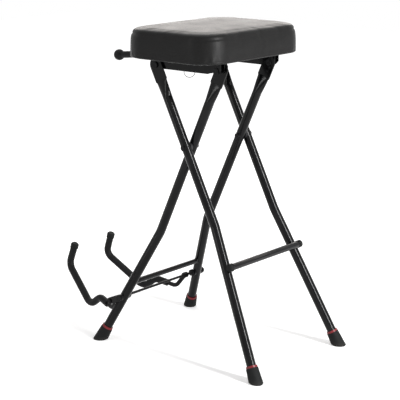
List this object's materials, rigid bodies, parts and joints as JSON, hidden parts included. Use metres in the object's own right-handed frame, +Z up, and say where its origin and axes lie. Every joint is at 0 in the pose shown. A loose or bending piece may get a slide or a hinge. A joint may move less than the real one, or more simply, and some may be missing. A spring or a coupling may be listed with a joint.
{
  "type": "guitar stool",
  "caption": "Folding padded guitar stool with crossed tube legs, footrest, a swing-out guitar cradle low at the back and a sliding neck rest under the seat",
  "frame": {"origin": "on the floor, below the middle of the line through the X pivots", "axes": "+X across the seat towards its right side, +Y to the back (cradle and neck rest side), +Z up"},
  "size_m": [0.3754, 0.7038, 0.7765],
  "materials": {
    "frame_paint": "gloss",
    "rod_paint": "satin",
    "black_rubber": "matte",
    "sleeve_rubber": "satin",
    "band_plastic": "gloss",
    "dark_fasteners": "satin",
    "nylon": "matte",
    "seat_vinyl": "satin",
    "plywood": "painted",
    "spring_steel": "bright",
    "ring_steel": "bright"
  },
  "bodies": {
    "outer_frame": {"outer_leg_left": "frame_paint", "outer_leg_right": "frame_paint", "outer_foot_left": "black_rubber", "outer_foot_right": "black_rubber", "outer_foot_bands": "band_plastic", "footrest_tube": "frame_paint", "footrest_caps": "black_rubber", "pivot_pins": "dark_fasteners", "pivot_caps": "dark_fasteners", "pivot_outer_washers": "dark_fasteners", "pivot_spacers": "nylon", "hinge_pins": "dark_fasteners", "hinge_washers": "dark_fasteners"},
    "inner_frame": {"inner_leg_left": "frame_paint", "inner_leg_right": "frame_paint", "inner_foot_left": "black_rubber", "inner_foot_right": "black_rubber", "inner_foot_bands": "band_plastic", "crossbar_tube": "frame_paint", "pivot_inner_washers": "dark_fasteners", "hook_pins": "dark_fasteners", "hook_washers": "dark_fasteners", "cradle_brackets": "frame_paint", "bracket_bolts": "dark_fasteners", "bracket_nuts": "dark_fasteners", "bracket_saddles": "dark_fasteners"},
    "cradle": {"cradle_axle": "rod_paint", "axle_caps": "dark_fasteners", "cradle_arm_left": "rod_paint", "cradle_arm_right": "rod_paint", "arm_sleeve_left": "sleeve_rubber", "arm_sleeve_right": "sleeve_rubber", "arm_cap_left": "black_rubber", "arm_cap_right": "black_rubber"},
    "seat": {"cushion": "seat_vinyl", "seat_board": "plywood", "seat_rail_left": "frame_paint", "seat_rail_right": "frame_paint", "rail_screws": "dark_fasteners", "hinge_bushes": "nylon", "neck_guide": "rod_paint", "guide_screws": "dark_fasteners", "lock_cap": "dark_fasteners", "lock_spring": "spring_steel"},
    "neck_rest": {"neck_yoke": "rod_paint", "prong_sleeves": "sleeve_rubber", "prong_balls": "sleeve_rubber"},
    "lock": {"lock_pin": "dark_fasteners"},
    "ring": {"pull_ring": "ring_steel"}
  },
  "joints": [
    {"name": "frame_fold", "type": "hinge", "parent": "outer_frame", "child": "inner_frame", "pos_m": [0, 0, 0.5003], "axis": [1, 0, 0], "range_deg": [-45, 0]},
    {"name": "seat_flip", "type": "hinge", "parent": "outer_frame", "child": "seat", "pos_m": [0, 0.09095, 0.684], "axis": [1, 0, 0], "range_deg": [-112.5, 0]},
    {"name": "cradle_fold", "type": "hinge", "parent": "inner_frame", "child": "cradle", "pos_m": [0, 0.21, 0.0982], "axis": [1, 0, 0], "range_deg": [0, 85]},
    {"name": "neck_slide", "type": "slide", "parent": "seat", "child": "neck_rest", "axis": [0, 1, 0], "range_m": [-0.096, 0]},
    {"name": "lock_pull", "type": "slide", "parent": "seat", "child": "lock", "axis": [0, 0, -1], "range_m": [0, 0.0036], "stiffness_N_per_m": 600, "springref_m": -0.003, "deforming": ["lock_spring"]},
    {"name": "ring_swing", "type": "hinge", "parent": "lock", "child": "ring", "pos_m": [0, 0.085, 0.6683], "axis": [0.6388, -0.7694, 0], "range_deg": [-75, 75]}
  ],
  "couplings": [
    {"joint": "seat_flip", "follows": "frame_fold", "ratio": 2.5}
  ]
}
